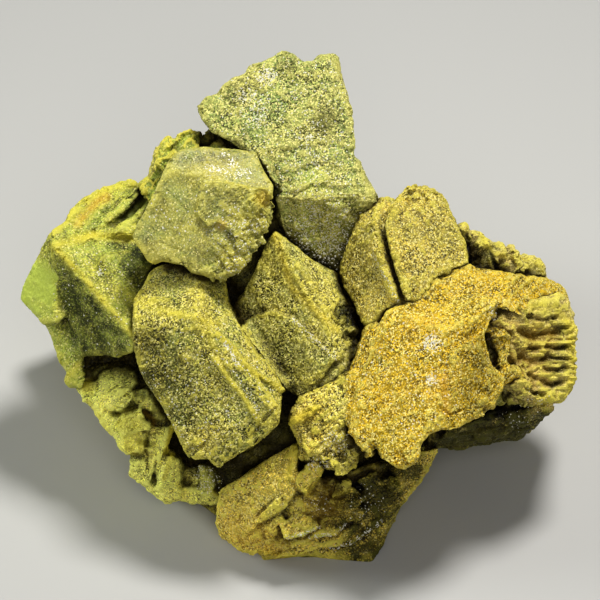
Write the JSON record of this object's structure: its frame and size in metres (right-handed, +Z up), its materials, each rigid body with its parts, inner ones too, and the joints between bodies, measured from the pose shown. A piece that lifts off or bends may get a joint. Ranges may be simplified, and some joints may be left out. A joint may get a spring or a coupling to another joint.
{
  "type": "heulandite specimen",
  "caption": "Hand-sized cluster of blocky, drusy olive and ochre crystals grown together on a massive root, cut flat underneath so that it rests with its crystal side facing up and forward.",
  "frame": {"origin": "centre of the bounding box's underside, on the surface that the specimen rests on", "axes": "+X to the right along the longest extent, +Y to the back, +Z up; the crystal side faces up and towards -Y"},
  "size_m": [0.0704, 0.0561, 0.0478],
  "materials": {
    "heulandite": "satin"
  },
  "bodies": {
    "root": {"heulandite_cluster": "heulandite"}
  },
  "joints": []
}
